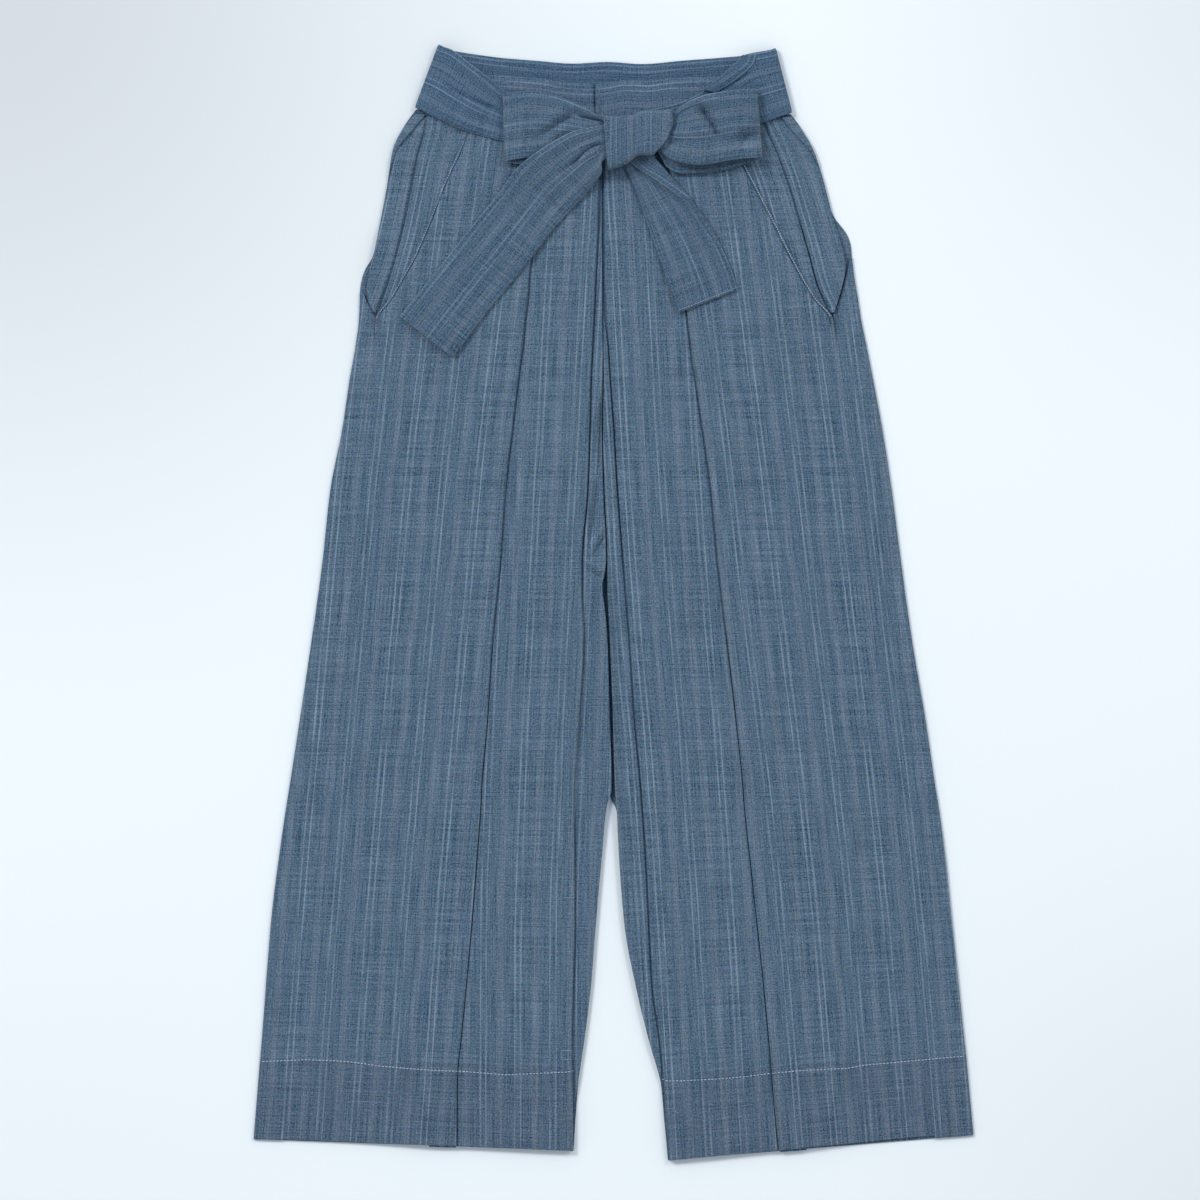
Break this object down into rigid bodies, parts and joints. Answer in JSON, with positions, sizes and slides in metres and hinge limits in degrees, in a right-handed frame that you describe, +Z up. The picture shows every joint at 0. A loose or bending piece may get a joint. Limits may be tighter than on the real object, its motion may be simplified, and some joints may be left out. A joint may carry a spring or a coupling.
{
  "type": "hakama trousers",
  "caption": "Pleated wide-leg hakama trousers in striped indigo cotton, laid flat and tied at the waist with their own belt in a bow.",
  "frame": {"origin": "middle of the garment's outline on the surface it lies on, in the plane of its underside", "axes": "+Y towards the waist, +X towards the wearer's left, +Z up out of the surface, towards the front of the garment"},
  "size_m": [0.6136, 0.9503, 0.0205],
  "materials": {
    "leg_cloth": "matte striped plain-weave indigo cotton, one layer",
    "belt_cloth": "matte striped plain-weave indigo cotton, folded double"
  },
  "bodies": {
    "root": {"back_leg_right": "leg_cloth", "back_leg_left": "leg_cloth", "back_leaf_right": "leg_cloth", "back_leaf_left": "leg_cloth", "front_leaf_right": "leg_cloth", "front_leaf_left": "leg_cloth", "front_leg_right": "leg_cloth", "front_leg_left": "leg_cloth", "belt_back": "belt_cloth", "front_waistband_right": "belt_cloth", "front_waistband_left": "belt_cloth", "belt_right": "belt_cloth", "belt_left": "belt_cloth", "bow_loop_right": "belt_cloth", "bow_loop_left": "belt_cloth", "bow_tail_right": "belt_cloth", "bow_tail_left": "belt_cloth", "bow_knot": "belt_cloth"}
  },
  "joints": []
}
